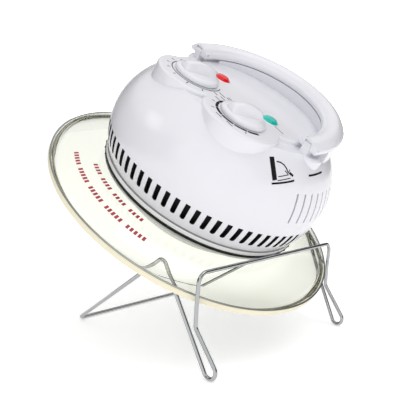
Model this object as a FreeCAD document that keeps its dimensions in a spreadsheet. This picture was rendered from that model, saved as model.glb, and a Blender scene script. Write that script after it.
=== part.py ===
import FreeCAD, Part
import math
import os
import Sketcher

# Halogen oven head resting on its wire lid stand.
# All lengths are in millimetres.  Row frame: +Z up, floor at z = 0, the stand is symmetric
# about y = 0 and the head slopes down towards +X.  Pieces of the head are modelled in the
# head frame (origin at the centre of the rim circle, z along the head's own axis) and are
# then placed together by one tilted placement.

doc = FreeCAD.newDocument("halogen_oven_head")
Vec = FreeCAD.Vector
UP = Vec(0, 0, 1)
ORIGIN = Vec(0, 0, 0)

# ---------------------------------------------------------------- driving dimensions

DIMENSIONS = [
    # where the head sits
    ("head_tilt", 32.9), ("head_centre_x", -6.04), ("head_centre_z", 136.6),
    # lid glass and rim
    ("rim_radius", 163.0), ("glass_hole_radius", 104.0), ("glass_crown_radius_at", 140.0),
    ("glass_hole_height", 19.0), ("glass_crown_height", 12.4), ("glass_edge_height", 0.5),
    ("glass_thickness", 4.0), ("skirt_height", 6.0), ("band_thickness", 1.6),
    ("band_height", 1.2),
    # collar between glass and cover
    ("collar_radius", 112.4), ("collar_bottom", 19.6), ("collar_top", 24.0),
    ("base_ring_radius", 112.2), ("cover_bottom", 25.5), ("clamp_screw_circle", 98.5),
    # cover shell
    ("cover_wall", 2.6), ("dome_arc_radius", 72.9), ("dome_arc_centre_r", 48.6),
    ("dome_arc_centre_z", 62.0), ("dome_top", 124.5), ("panel_top", 128.0),
    ("lobe_radius", 40.0), ("knob_offset_x", 35.0), ("knob_offset_y", 52.0),
    ("panel_radius", 76.0), ("panel_centre_y", 16.0),
    # air slots
    ("front_slot_count", 38), ("front_slot_pitch", 5.0), ("front_slot_width", 5.0),
    ("front_slot_low", 35.8), ("front_slot_high", 54.0),
    ("rear_slot_count", 38), ("rear_slot_pitch", 5.5), ("rear_slot_width", 2.2),
    ("rear_slot_low", 70.0), ("rear_slot_high", 98.0),
    # controls
    ("knob_radius", 23.0), ("knob_height", 15.0), ("knob_plate_height", 4.0),
    ("knob_grip_width", 9.0), ("knob_bearing", 72.0), ("control_shaft_radius", 3.0),
    ("lens_radius", 8.2),
    ("lens_flange_radius", 9.8), ("lens_x", 37.0), ("lens_y", 11.0),
    # carrying handle
    ("handle_inner_radius", 71.5), ("handle_width", 23.5), ("handle_centre_y", 3.5),
    ("handle_crest", 141.0), ("handle_bottom", 128.8), ("pivot_y", 5.0), ("pivot_z", 133.0),
    ("pin_radius", 2.0), ("lug_width", 8.0), ("lug_radius", 4.6), ("handle_lift", 8.0),
    ("housing_radius", 15.0), ("housing_top", 125.0), ("saddle_gap", 0.8),
    # motor, fans and heater
    ("shaft_radius", 3.0), ("rotor_radius", 14.0), ("rotor_air_gap", 0.35),
    ("stator_side", 56.0), ("stator_bottom", 38.0), ("stator_height", 18.0),
    ("fan_radius", 42.0), ("cooling_fan_radius", 46.0), ("blade_count", 8),
    ("lamp_ring_radius", 62.0), ("lamp_tube_radius", 5.0), ("reflector_radius", 82.0),
    ("reflector_top", 10.0), ("reflector_depth", 8.0), ("sheet_thickness", 0.8),
    # stand
    ("wire_radius", 1.9), ("rear_bar_back", 73.4), ("rear_bar_half_span", 97.7),
    ("foot_reach", 124.4), ("foot_half_span", 110.1), ("foot_width", 14.0),
    ("apex_x", 83.8), ("apex_half_span", 117.0), ("prong_half_span", 110.4),
    ("jog_low_height", 42.5), ("jog_high_height", 64.4), ("prong_reach", 106.6),
    # clearances
    ("rest_gap", 0.3), ("running_gap", 0.05), ("bedding_gap", 0.05), ("hand_gap", 0.4),
]

sheet = doc.addObject("Spreadsheet::Sheet", "Sizes")
for row, (alias, number) in enumerate(DIMENSIONS, start=1):
    sheet.set("A%d" % row, alias)
    sheet.set("B%d" % row, str(number))
    sheet.setAlias("B%d" % row, alias)
doc.recompute()


class Size:
    """A number from the sheet that also remembers its own formula."""

    def __init__(self, value, text):
        self.value = value
        self.text = text

    def join(self, other, sign, value):
        other_text = other.text if isinstance(other, Size) else repr(float(other))
        return Size(value, "(%s %s %s)" % (self.text, sign, other_text))

    def __add__(self, other):
        return self.join(other, "+", self.value + float(other))

    def __radd__(self, other):
        return self.__add__(other)

    def __sub__(self, other):
        return self.join(other, "-", self.value - float(other))

    def __mul__(self, other):
        return self.join(other, "*", self.value * float(other))

    def __truediv__(self, other):
        return self.join(other, "/", self.value / float(other))

    def __neg__(self):
        return Size(-self.value, "(0 - %s)" % self.text)

    def __float__(self):
        return float(self.value)


def size(alias):
    return Size(float(sheet.get(alias)), "Sizes." + alias)


def whole(alias):
    return int(round(float(sheet.get(alias))))


def bind(item, prop, length):
    """Ties one property of a document object to the sheet."""
    if isinstance(length, Size):
        item.setExpression(prop, length.text)
    else:
        setattr(item, prop, length)


# ---------------------------------------------------------------- placing and collecting

nodes = []
head_place = FreeCAD.Placement(
    Vec(float(size("head_centre_x")), 0, float(size("head_centre_z"))),
    FreeCAD.Rotation(Vec(0, 1, 0), float(size("head_tilt"))))
stand_place = FreeCAD.Placement()


def keep(item, label, place=head_place):
    """Marks a finished sub-part: its label is its file name."""
    item.Label = label
    item.Placement = place.multiply(item.Placement)
    nodes.append(item)
    return item


def shape_node(label, shape, place=head_place):
    """A sub-part whose form needs Part functions."""
    item = doc.addObject("Part::Feature", label)
    item.Shape = shape
    return keep(item, label, place)


# ---------------------------------------------------------------- PartDesign helpers

def outline(body, name, plane, corners):
    """A closed straight-sided sketch whose corners are tied to the sheet."""
    sketch = body.newObject("Sketcher::SketchObject", name)
    support = [f for f in body.Origin.OriginFeatures if f.Name.startswith(plane)][0]
    sketch.AttachmentSupport = [(support, "")]
    sketch.MapMode = "FlatFace"
    count = len(corners)
    for i in range(count):
        u0, v0 = corners[i]
        u1, v1 = corners[(i + 1) % count]
        start = Vec(float(u0), float(v0), 0)
        end = Vec(float(u1), float(v1), 0)
        sketch.addGeometry(Part.LineSegment(start, end), False)
    for i in range(count):
        sketch.addConstraint(Sketcher.Constraint("Coincident", i, 2, (i + 1) % count, 1))
    for i, corner in enumerate(corners):
        for kind, length in zip(("DistanceX", "DistanceY"), corner):
            rule = Sketcher.Constraint(kind, -1, 1, i, 1, float(length))
            number = sketch.addConstraint(rule)
            if isinstance(length, Size):
                sketch.setExpression("Constraints[%d]" % number, length.text)
    return sketch


def revolved(label, corners, place=head_place):
    """A round sub-part: corners are (radius, height) pairs."""
    body = doc.addObject("PartDesign::Body", label)
    sketch = outline(body, label + "_profile", "XZ_Plane", corners)
    turn = body.newObject("PartDesign::Revolution", label + "_turn")
    turn.Profile = sketch
    turn.ReferenceAxis = (sketch, ["V_Axis"])
    turn.Angle = 360
    body.Tip = turn
    doc.recompute()
    return keep(body, label, place)


def cylinder(label, radius, height, base):
    item = doc.addObject("Part::Cylinder", label)
    bind(item, "Radius", radius)
    bind(item, "Height", height)
    item.Placement = FreeCAD.Placement(Vec(*[float(c) for c in base]), FreeCAD.Rotation())
    return item


def block(label, length, width, height, base):
    item = doc.addObject("Part::Box", label)
    bind(item, "Length", length)
    bind(item, "Width", width)
    bind(item, "Height", height)
    item.Placement = FreeCAD.Placement(Vec(*[float(c) for c in base]), FreeCAD.Rotation())
    return item


def joined(label, pieces):
    item = doc.addObject("Part::MultiFuse", label)
    item.Shapes = pieces
    return item


def less(label, base, tool):
    item = doc.addObject("Part::Cut", label)
    item.Base = base
    item.Tool = tool
    return item


# ---------------------------------------------------------------- Part-function helpers

def rod(start, end, radius):
    """A solid cylinder between two points."""
    return Part.makeCylinder(radius, start.distanceToPoint(end), start, end.sub(start))


def ring_section(points):
    """A closed face in the XZ plane from points and arcs (an arc is a middle point)."""
    edges = []
    count = len(points)
    for i in range(count):
        here, nxt = points[i], points[(i + 1) % count]
        start = Vec(here[0], 0, here[1])
        end = Vec(nxt[0], 0, nxt[1])
        if len(here) > 2:
            middle = Vec(here[2], 0, here[3])
            edges.append(Part.Arc(start, middle, end).toShape())
        else:
            edges.append(Part.LineSegment(start, end).toShape())
    return Part.Face(Part.Wire(edges))


def spun(points, angle=360.0):
    return ring_section(points).revolve(ORIGIN, UP, angle)


def around(shape, angle):
    turned = shape.copy()
    turned.rotate(ORIGIN, UP, angle)
    return turned


def box_at(x, y, z, length, width, height):
    """A box centred on x, y that stands on z."""
    return Part.makeBox(length, width, height, Vec(x - length / 2, y - width / 2, z))


# ---------------------------------------------------------------- glass crown geometry

# The lid glass is crowned on one circular arc, so every height on it follows from three
# points: the hole edge, the crown point and the rim edge.
rim = float(size("rim_radius"))
hole = float(size("glass_hole_radius"))
glass_t = float(size("glass_thickness"))
crown = Part.Arc(
    Vec(hole, 0, float(size("glass_hole_height"))),
    Vec(float(size("glass_crown_radius_at")), 0, float(size("glass_crown_height"))),
    Vec(rim, 0, float(size("glass_edge_height"))))
crown_circle = crown.toShape().Curve
crown_r = crown_circle.Center.x
crown_z = crown_circle.Center.z
crown_R = crown_circle.Radius


def glass_top(radius, offset=0.0):
    """Height of the outer glass surface, or of a surface offset from it."""
    return crown_z + math.sqrt((crown_R + offset) ** 2 - (radius - crown_r) ** 2)


def crown_arc(r0, r1, offset=0.0):
    """Start point of an arc that follows the crown, with its middle point."""
    mid = (r0 + r1) / 2
    return (r0, glass_top(r0, offset), mid, glass_top(mid, offset))


# ================================================================ the head: glass and rim

skirt = float(size("skirt_height"))
inner_edge = rim - glass_t
turn_in = inner_edge - 3.0
shape_node("glass_lid", spun([
    crown_arc(hole, rim),
    (rim, float(size("glass_edge_height"))),
    (rim, -skirt),
    (inner_edge, -skirt),
    (inner_edge, glass_top(turn_in, -glass_t) - 2.0),
    crown_arc(turn_in, hole, -glass_t),
    (hole, glass_top(hole, -glass_t)),
]))

# steel hoop round the shoulder of the glass, with a soft seal below it
band = size("band_thickness")
band_low = -size("band_height")
hoop_inner = size("rim_radius") + size("bedding_gap")
hoop_lip = rim - 1.6
shape_node("rim_band", spun([
    (float(hoop_inner), float(band_low)),
    (float(hoop_inner + band), float(band_low)),
    (float(hoop_inner + band), float(size("glass_edge_height")) + 0.6),
    (rim, glass_top(rim - 1.0) + 1.4),
    (hoop_lip, glass_top(hoop_lip) + 0.8),
    (hoop_lip, glass_top(hoop_lip) + 0.05),
    (float(hoop_inner), float(size("glass_edge_height")) + 0.4),
]))
revolved("rim_seal", [
    (hoop_inner, band_low - size("bedding_gap")),
    (hoop_inner, -size("skirt_height")),
    (hoop_inner + band * 0.9, -size("skirt_height")),
    (hoop_inner + band * 0.9, band_low - size("bedding_gap")),
])

# ================================================================ collar and clamp stack

collar = size("collar_radius")
collar_low = size("collar_bottom")
collar_inner = size("glass_hole_radius") + 0.5
bed = float(size("bedding_gap"))
tab_count = 54
gasket_outer = float(collar) + 0.3
gasket = spun([
    crown_arc(float(collar_inner), gasket_outer, bed),
    (gasket_outer, glass_top(gasket_outer, bed)),
    (gasket_outer, float(collar_low)),
    (float(collar_inner), float(collar_low)),
])
tab = box_at(gasket_outer, 0, glass_top(gasket_outer, bed) + 0.1, 1.4, 2.4, 0.9)
shape_node("collar_gasket", gasket.fuse(
    [around(tab, 360.0 * i / tab_count) for i in range(tab_count)]))

revolved("collar_ring", [
    (collar_inner, collar_low),
    (collar - 0.6, collar_low),
    (collar, collar_low + 0.8),
    (collar, size("collar_top")),
    (collar_inner, size("collar_top")),
])

screw_circle = float(size("clamp_screw_circle"))
screw_count = 6
clamp_low = 12.2
clamp_high = 14.0
chassis_low = 23.1
chassis_high = 23.95
screw_hole_r = 1.8
cover_low = float(size("cover_bottom"))


def on_circle(radius, count, start=0.0):
    """Points evenly spaced round the axis."""
    steps = [math.radians(start + 360.0 * i / count) for i in range(count)]
    return [Vec(radius * math.cos(a), radius * math.sin(a), 0) for a in steps]


screw_spots = on_circle(screw_circle, screw_count, 30)


def drilled(shape, spots, radius, low, high):
    """Cuts the same upright hole at several spots."""
    tools = [Part.makeCylinder(radius, high - low, Vec(p.x, p.y, low)) for p in spots]
    return shape.cut(tools)


def plate(inner, outer, low, high):
    """A flat ring."""
    disc = Part.makeCylinder(outer, high - low, Vec(0, 0, low))
    return disc.cut(Part.makeCylinder(inner, high - low, Vec(0, 0, low)))


reflector_r = float(size("reflector_radius"))
shape_node("base_ring", drilled(
    plate(94.0, float(size("base_ring_radius")), float(size("collar_top")), cover_low),
    screw_spots, screw_hole_r, 20, 30))
shape_node("clamp_ring", drilled(
    plate(reflector_r + 0.3, 111.0, clamp_low, clamp_high),
    screw_spots, screw_hole_r, 10, 20))
shape_node("lower_gasket", spun([
    (float(collar_inner), clamp_high),
    (110.5, clamp_high),
    crown_arc(110.5, float(collar_inner), -glass_t - bed),
    (float(collar_inner), glass_top(float(collar_inner), -glass_t - bed)),
]))
spacers = []
screws = []
for spot in screw_spots:
    tube = Part.makeCylinder(3.5, chassis_low - clamp_high, Vec(spot.x, spot.y, clamp_high))
    bore = Part.makeCylinder(screw_hole_r, 20, Vec(spot.x, spot.y, clamp_high - 1))
    spacers.append(tube.cut(bore))
    head = Part.makeCone(2.2, 3.3, 1.6, Vec(spot.x, spot.y, clamp_low - 1.6))
    shank = Part.makeCylinder(screw_hole_r - 0.1, 17.5, Vec(spot.x, spot.y, clamp_low - 0.5))
    recess = box_at(spot.x, spot.y, clamp_low - 1.6, 3.4, 0.7, 0.8)
    recess = recess.fuse(box_at(spot.x, spot.y, clamp_low - 1.6, 0.7, 3.4, 0.8))
    screws.append(head.fuse(shank).cut(recess))
shape_node("clamp_spacers", Part.makeCompound(spacers))
shape_node("clamp_screws", Part.makeCompound(screws))

# ================================================================ cover shell

wall = float(size("cover_wall"))
arc_R = float(size("dome_arc_radius"))
arc_r = float(size("dome_arc_centre_r"))
arc_z = float(size("dome_arc_centre_z"))
panel_top = float(size("panel_top"))
panel_r = float(size("panel_radius"))
panel_y = float(size("panel_centre_y"))
lobe_r = float(size("lobe_radius"))
knob_x = float(size("knob_offset_x"))
knob_y = -float(size("knob_offset_y"))
pivot_y = -float(size("pivot_y"))
pivot_z = float(size("pivot_z"))
handle_r = float(size("handle_inner_radius"))
handle_w = float(size("handle_width"))
lug_w = float(size("lug_width"))
lug_r = float(size("lug_radius"))
lug_x = handle_r + handle_w / 2
bow_y = float(size("handle_centre_y"))
housing_r = float(size("housing_radius"))
housing_top = float(size("housing_top"))


def dome_radius(z, inset=0.0):
    """Radius of the dome surface at a height, or of a surface inset from it."""
    return arc_r + math.sqrt((arc_R - inset) ** 2 - (z - arc_z) ** 2)


def cover_form(inset):
    """The cover's solid form, drawn inwards by one wall for the hollow."""
    low = cover_low - (1.0 if inset else 0.0)
    top = float(size("dome_top")) - inset
    mid = arc_z + 0.3 * arc_R
    form = spun([
        (0, low),
        (dome_radius(low, inset), low, dome_radius(mid, inset), mid),
        (dome_radius(top, inset), top),
        (0, top),
    ])
    rise = panel_top - inset
    panel = Part.makeCylinder(panel_r - inset, rise - 100, Vec(0, panel_y, 100))
    lobes = [Part.makeCylinder(lobe_r - inset, rise - 100, Vec(s * knob_x, knob_y, 100))
             for s in (-1, 1)]
    crownwork = panel.fuse(lobes).removeSplitter()
    if not inset:
        edges = [e for e in crownwork.Edges if e.BoundBox.ZMin > rise - 0.01
                 and e.BoundBox.ZMax < rise + 0.01]
        crownwork = crownwork.makeFillet(2.4, edges)
    return form.fuse(crownwork)


def section_box(inner, outer, low, high):
    return ring_section([(inner, low), (outer, low), (outer, high), (inner, high)])


def upright_slot(width, low, high, both_ends):
    """A slot tool on the +X side: flat top and round bottom, or round at both ends."""
    top = high - width / 2 if both_ends else high
    tool = Part.makeBox(40, width, top - low - width / 2, Vec(95, -width / 2, low + width / 2))
    ends = [low + width / 2] + ([top] if both_ends else [])
    for z in ends:
        tool = tool.fuse(Part.makeCylinder(width / 2, 40, Vec(95, 0, z), Vec(1, 0, 0)))
    return tool


def slot_row(prefix, middle_angle, both_ends):
    count = whole(prefix + "_slot_count")
    pitch = float(size(prefix + "_slot_pitch"))
    tool = upright_slot(float(size(prefix + "_slot_width")), float(size(prefix + "_slot_low")),
                        float(size(prefix + "_slot_high")), both_ends)
    first = middle_angle - pitch * (count - 1) / 2
    return [around(tool, first + pitch * i) for i in range(count)]


def swept_bow(face, start_angle, end_angle):
    """Turns a section about the upright line at the middle of the handle's bow."""
    first = face.copy()
    first.rotate(ORIGIN, UP, start_angle)
    turned = first.revolve(ORIGIN, UP, end_angle - start_angle)
    turned.translate(Vec(0, bow_y, 0))
    return turned


lugs = []
for side in (-1, 1):
    housing = Part.makeCylinder(housing_r, housing_top - 100, Vec(side * lug_x, 3.0, 100))
    rim_edges = [e for e in housing.Edges if e.BoundBox.ZMin > housing_top - 0.01]
    lugs.append(housing.makeFillet(4.0, rim_edges))
    post = box_at(side * lug_x, pivot_y, 108, lug_w, 2 * lug_r, pivot_z - 108)
    eye = Part.makeCylinder(lug_r, lug_w, Vec(side * lug_x - lug_w / 2, pivot_y, pivot_z),
                            Vec(1, 0, 0))
    lugs.extend([post, eye])
bottom = float(size("handle_bottom"))
pivot = Vec(0, pivot_y, pivot_z)
lift = float(size("handle_lift"))
saddle = swept_bow(section_box(handle_r + 1.5, handle_r + handle_w - 1.5, 100.0,
                               bottom - float(size("saddle_gap"))), 10, 170)
saddle.rotate(pivot, Vec(1, 0, 0), lift)
lugs.append(saddle)
bosses = []
for spot in screw_spots:
    angle = math.degrees(math.atan2(spot.y, spot.x))
    rib = around(Part.makeBox(14, 3, 5.0, Vec(screw_circle, -1.5, cover_low)), angle)
    post = Part.makeCylinder(4.0, 5.0, Vec(spot.x, spot.y, cover_low))
    bosses.append(post.fuse(rib).cut(
        Part.makeCylinder(screw_hole_r - 0.05, 10, Vec(spot.x, spot.y, cover_low - 1))))

lens_x = float(size("lens_x"))
lens_y = -float(size("lens_y"))
lens_r = float(size("lens_radius"))
gland_r = 9.0
gland_z = 46.0
pin_r = float(size("pin_radius"))
run = float(size("running_gap"))
shaft_r = float(size("control_shaft_radius"))
ceiling = panel_top - wall
holes = [Part.makeCylinder(gland_r + 0.1, 40, Vec(0, 95, gland_z), Vec(0, 1, 0))]
for side in (-1, 1):
    holes.append(Part.makeCylinder(shaft_r + 1.2, 20, Vec(side * knob_x, knob_y, 115)))
    holes.append(Part.makeCylinder(lens_r + 0.1, 20, Vec(side * lens_x, lens_y, 115)))
    holes.append(Part.makeCylinder(pin_r + run, lug_w + 2,
                                   Vec(side * lug_x - lug_w / 2 - 1, pivot_y, pivot_z),
                                   Vec(1, 0, 0)))
cover = cover_form(0.0).fuse(lugs).cut(cover_form(wall))
cover = cover.fuse([b.common(cover_form(0.0)) for b in bosses])
cover = cover.cut(slot_row("front", -90, False) + slot_row("rear", 90, True) + holes)
shape_node("top_cover", cover)

# dark sheet standing on the cover's ribs behind the front slots
screen_r = 104.6
screen_low = cover_low + 5.05
screen_face = section_box(screen_r, screen_r + 1.2, screen_low,
                          float(size("front_slot_high")) + 3.0)
screen_face.rotate(ORIGIN, UP, -190)
shape_node("slot_screen", screen_face.revolve(ORIGIN, UP, 200))

# ================================================================ indicator lamps

for side, colour in ((-1, "red"), (1, "green")):
    spot_x = side * lens_x
    barrel = Part.makeCylinder(lens_r, panel_top + 0.6 - ceiling, Vec(spot_x, lens_y, ceiling))
    flange = Part.makeCylinder(float(size("lens_flange_radius")), 1.6,
                               Vec(spot_x, lens_y, ceiling - 1.6))
    ball_r = 15.0
    cap_z = panel_top + 0.6 - math.sqrt(ball_r ** 2 - lens_r ** 2)
    cap = Part.makeSphere(ball_r, Vec(spot_x, lens_y, cap_z))
    cap = cap.common(Part.makeCylinder(lens_r, 10, Vec(spot_x, lens_y, panel_top)))
    shape_node(colour + "_lens", barrel.fuse([flange, cap]).removeSplitter())
neons = []
for side in (-1, 1):
    holder = cylinder("holder", 6.0, 3.0, (side * lens_x, lens_y, ceiling - 4.6))
    bulb = cylinder("bulb", 3.0, 18.0, (side * lens_x, lens_y, ceiling - 22.6))
    neons.append(joined("neon", [holder, bulb]))
lamps = doc.addObject("Part::Compound", "neon_lamps")
lamps.Links = neons
keep(lamps, "neon_lamps")

# ================================================================ controls

knob_r = size("knob_radius")
knob_low = panel_top + float(size("hand_gap"))
shaft_top = knob_low + float(size("knob_height")) - 4.0
for side, name, depth, body_w in ((-1, "timer", 29.0, 38.0), (1, "thermostat", 15.0, 34.0)):
    x = side * knob_x
    case = box_at(x, knob_y, ceiling - depth, body_w, body_w - 4, depth)
    case = case.cut(Part.makeCylinder(shaft_r + run, 12.0, Vec(x, knob_y, ceiling - 11.0)))
    shape_node(name + "_body", case)

    shaft_low = ceiling - 10.8
    shaft = Part.makeCylinder(shaft_r, shaft_top - shaft_low, Vec(x, knob_y, shaft_low))
    flat = box_at(x, knob_y + shaft_r, knob_low + 1.0, 10, 2.0, 20)
    shape_node(name + "_shaft", shaft.cut(flat))

    disc = cylinder(name + "_disc", knob_r, size("knob_plate_height"), (x, knob_y, knob_low))
    turned = Part.makeCone(float(knob_r) - 1.2, float(knob_r) - 4.0,
                           float(size("knob_height") - size("knob_plate_height")) - 1.0,
                           Vec(x, knob_y, knob_low + float(size("knob_plate_height"))))
    blade = box_at(x, knob_y, knob_low + float(size("knob_plate_height")), 50,
                   float(size("knob_grip_width")), float(size("knob_height")))
    blade.rotate(Vec(x, knob_y, 0), UP, float(size("knob_bearing")))
    grip = doc.addObject("Part::Feature", name + "_grip")
    grip.Shape = turned.common(blade)
    bore = cylinder(name + "_bore", size("control_shaft_radius") + 0.02,
                    shaft_top - knob_low + 0.1, (x, knob_y, knob_low))
    knob = less(name + "_knob", joined(name + "_solid", [disc, grip]), bore)
    keep(knob, name + "_knob")

# ================================================================ carrying handle

crest = float(size("handle_crest"))


def bow_section():
    """The bow's cross-section: distance from the bow's centre line axis, and height."""
    inner, outer = handle_r, handle_r + handle_w
    return ring_section([
        (inner + 2.0, bottom),
        (outer - 2.0, bottom, outer + 0.4, (bottom + crest - 5.5) / 2),
        (outer - 1.8, crest - 5.5, inner + 0.5 * handle_w, crest),
        (inner + 2.5, crest - 4.5, inner, (bottom + crest - 4.5) / 2),
    ])


front_end = pivot_y - 4.0
bow = swept_bow(bow_section(), 0, 180)
for side in (-1, 1):
    face = bow_section()
    if side < 0:
        face = face.mirror(ORIGIN, Vec(1, 0, 0))
    arm = face.extrude(Vec(0, front_end - bow_y, 0))
    arm.translate(Vec(0, bow_y, 0))
    bow = bow.fuse(arm)
bow = bow.removeSplitter()
cutters = []
for side in (-1, 1):
    x = side * lug_x
    slot_w = lug_w + 2 * float(size("rest_gap"))
    reach = lug_r + 0.6
    round_slot = Part.makeCylinder(reach, slot_w, Vec(x - slot_w / 2, pivot_y, pivot_z),
                                   Vec(1, 0, 0))
    below = Part.makeBox(slot_w, reach + 15, 15, Vec(x - slot_w / 2, pivot_y - 15, pivot_z - 15))
    ahead = Part.makeBox(slot_w, 15, reach, Vec(x - slot_w / 2, pivot_y - 15, pivot_z))
    cutters.extend([round_slot, below, ahead])
    corner = Part.makeBox(handle_w + 4, 5, 10, Vec(x - handle_w / 2 - 2, pivot_y - 5,
                                                   pivot_z - 10))
    corner = corner.cut(Part.makeCylinder(pivot_z - bottom, handle_w + 6,
                                          Vec(x - handle_w / 2 - 3, pivot_y, pivot_z),
                                          Vec(1, 0, 0)))
    cutters.append(corner)
    cutters.append(Part.makeCylinder(pin_r + 0.02, 23.2, Vec(x - 11.6, pivot_y, pivot_z),
                                     Vec(1, 0, 0)))
channel_in = handle_r + 7.0
channel_out = handle_r + handle_w - 7.0
channel = swept_bow(section_box(channel_in, channel_out, bottom - 1, bottom + 2.0), 14, 166)
cutters.append(channel)
plate_screws = [math.radians(a) for a in (25, 90, 155)]
middle_r = (channel_in + channel_out) / 2
screw_points = [Vec(middle_r * math.cos(a), bow_y + middle_r * math.sin(a), 0)
                for a in plate_screws]
bow = bow.cut(cutters)
bow = drilled(bow, screw_points, 1.5, bottom - 1, bottom + 9.0)
under = swept_bow(section_box(channel_in + 0.1, channel_out - 0.1, bottom, bottom + 2.0),
                  14.3, 165.7)
under = drilled(under, screw_points, 1.5, bottom - 1, bottom + 9.0)
under = drilled(under, screw_points, 2.9, bottom - 1, bottom + 1.0)
bow_screws = []
for p in screw_points:
    head = Part.makeCylinder(2.8, 0.9, Vec(p.x, p.y, bottom + 0.05))
    bow_screws.append(head.fuse(Part.makeCylinder(1.45, 8.5, Vec(p.x, p.y, bottom + 0.05))))
pins = [Part.makeCylinder(pin_r, 23.0, Vec(s * lug_x - 11.5, pivot_y, pivot_z), Vec(1, 0, 0))
        for s in (-1, 1)]
for label, shape in (("handle_bow", bow), ("handle_underside", under),
                     ("handle_screws", Part.makeCompound(bow_screws)),
                     ("hinge_pins", Part.makeCompound(pins))):
    shape.rotate(pivot, Vec(1, 0, 0), lift)
    shape_node(label, shape)

# ================================================================ chassis, shield, heater

sheet_t = float(size("sheet_thickness"))
motor_shaft_r = float(size("shaft_radius"))
post_spots = on_circle(34.0, 3, 90)
chassis = plate(5.0, 103.5, chassis_low, chassis_high)
shape_node("chassis_plate", drilled(chassis, screw_spots, screw_hole_r, 20, 26))
shield_low = 16.0
reflector_top = float(size("reflector_top"))
reflector_low = -float(size("reflector_depth"))
revolved("heat_shield", [
    (5.0, shield_low), (92.0, shield_low), (92.0, shield_low + size("sheet_thickness")),
    (5.0, shield_low + size("sheet_thickness")),
])
revolved("reflector", [
    (5.0, size("reflector_top")),
    (size("reflector_radius") - size("sheet_thickness"), size("reflector_top")),
    (size("reflector_radius") - size("sheet_thickness"),
     -size("reflector_depth") + size("sheet_thickness")),
    (size("reflector_radius") - 6.0, -size("reflector_depth") + size("sheet_thickness")),
    (size("reflector_radius") - 6.0, -size("reflector_depth")),
    (size("reflector_radius"), -size("reflector_depth")),
    (size("reflector_radius"), size("reflector_top") + size("sheet_thickness")),
    (5.0, size("reflector_top") + size("sheet_thickness")),
])
posts = []
for p in post_spots:
    posts.append(rod(Vec(p.x, p.y, reflector_top + sheet_t), Vec(p.x, p.y, shield_low), 3.0))
    posts.append(rod(Vec(p.x, p.y, shield_low + sheet_t), Vec(p.x, p.y, chassis_low), 3.0))
shape_node("shield_posts", Part.makeCompound(posts))

guard_z = reflector_low + sheet_t
guard = plate(reflector_r - 5.0, reflector_r - sheet_t - 0.3, guard_z, guard_z + 1.2)
for radius in (12.0, 31.0, 50.0, 69.0):
    guard = guard.fuse(plate(radius - 1.5, radius + 1.5, guard_z, guard_z + 1.2))
for i in range(8):
    spoke = Part.makeBox(reflector_r - 14.0, 3.0, 1.2, Vec(11.5, -1.5, guard_z))
    guard = guard.fuse(around(spoke, 45.0 * i + 22.5))
shape_node("heater_guard", guard.removeSplitter())

ring_r = float(size("lamp_ring_radius"))
tube_r = float(size("lamp_tube_radius"))
gap_half = 16.0
tube_face = Part.Face(Part.Wire(Part.makeCircle(tube_r, Vec(ring_r, 0, 0), Vec(0, 1, 0))))
tube_face.rotate(ORIGIN, UP, 90 + gap_half)
shape_node("halogen_lamp", tube_face.revolve(ORIGIN, UP, 360 - 2 * gap_half))
caps = []
for side in (-1, 1):
    angle = 90 + side * gap_half
    cap = Part.makeBox(12, 10, 12, Vec(ring_r - 6, -10 if side > 0 else 0, -6))
    stem = Part.makeCylinder(3.0, reflector_top - 6, Vec(ring_r, -side * 5, 6))
    caps.append(around(cap.fuse(stem), angle))
shape_node("lamp_end_caps", Part.makeCompound(caps))
clips = []
for angle in (-30, -90, -150):
    strap = Part.makeBox(3.0, 8.0, reflector_top - tube_r, Vec(ring_r - 1.5, -4, tube_r))
    clips.append(around(strap, angle))
shape_node("lamp_clips", Part.makeCompound(clips))

# ================================================================ motor and fans

stator_low = float(size("stator_bottom"))
stator_h = float(size("stator_height"))
stator_top = stator_low + stator_h
side_len = float(size("stator_side"))
rotor_r = float(size("rotor_radius"))
stator = box_at(0, 0, stator_low, side_len, side_len, stator_h)
limb = Part.makeBox(14, 34, stator_h, Vec(-7, side_len / 2, stator_low))
bore = Part.makeCylinder(rotor_r + float(size("rotor_air_gap")), stator_h,
                         Vec(0, 0, stator_low))
shape_node("motor_stator", stator.fuse(limb).cut(bore).removeSplitter())
coil = box_at(0, side_len / 2 + 17, stator_low - 7, 30, 28, stator_h + 14)
coil = coil.cut(box_at(0, side_len / 2 + 17, stator_low - 0.1, 14.2, 40, stator_h + 0.2))
shape_node("motor_coil", coil)

bearing_r = 7.0
brackets = []
bearings = []
for low in (stator_low - 8.0, stator_top + 6.0):
    strip = box_at(0, 0, low, 68, 22, 2.0)
    brackets.append(strip.cut(Part.makeCylinder(bearing_r + 0.02, 2.0, Vec(0, 0, low))))
    bearings.append(plate(motor_shaft_r + run, bearing_r, low - 0.5, low + 2.5))
shape_node("motor_brackets", Part.makeCompound(brackets))
shape_node("motor_bearings", Part.makeCompound(bearings))
pillars = []
for side in (-1, 1):
    levels = ((chassis_high, stator_low - 8.0, 30.0), (stator_low - 6.0, stator_low, 24.0),
              (stator_top, stator_top + 6.0, 24.0))
    for low, high, x in levels:
        pillars.append(Part.makeCylinder(3.0, high - low, Vec(side * x, 0, low)))
shape_node("motor_pillars", Part.makeCompound(pillars))

shaft_low = -5.0
shaft_high = 84.0
shape_node("motor_shaft", Part.makeCylinder(motor_shaft_r, shaft_high - shaft_low,
                                            Vec(0, 0, shaft_low)))
shape_node("motor_rotor", plate(motor_shaft_r + 0.02, rotor_r, stator_low - 1,
                                stator_top + 1))


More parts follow.
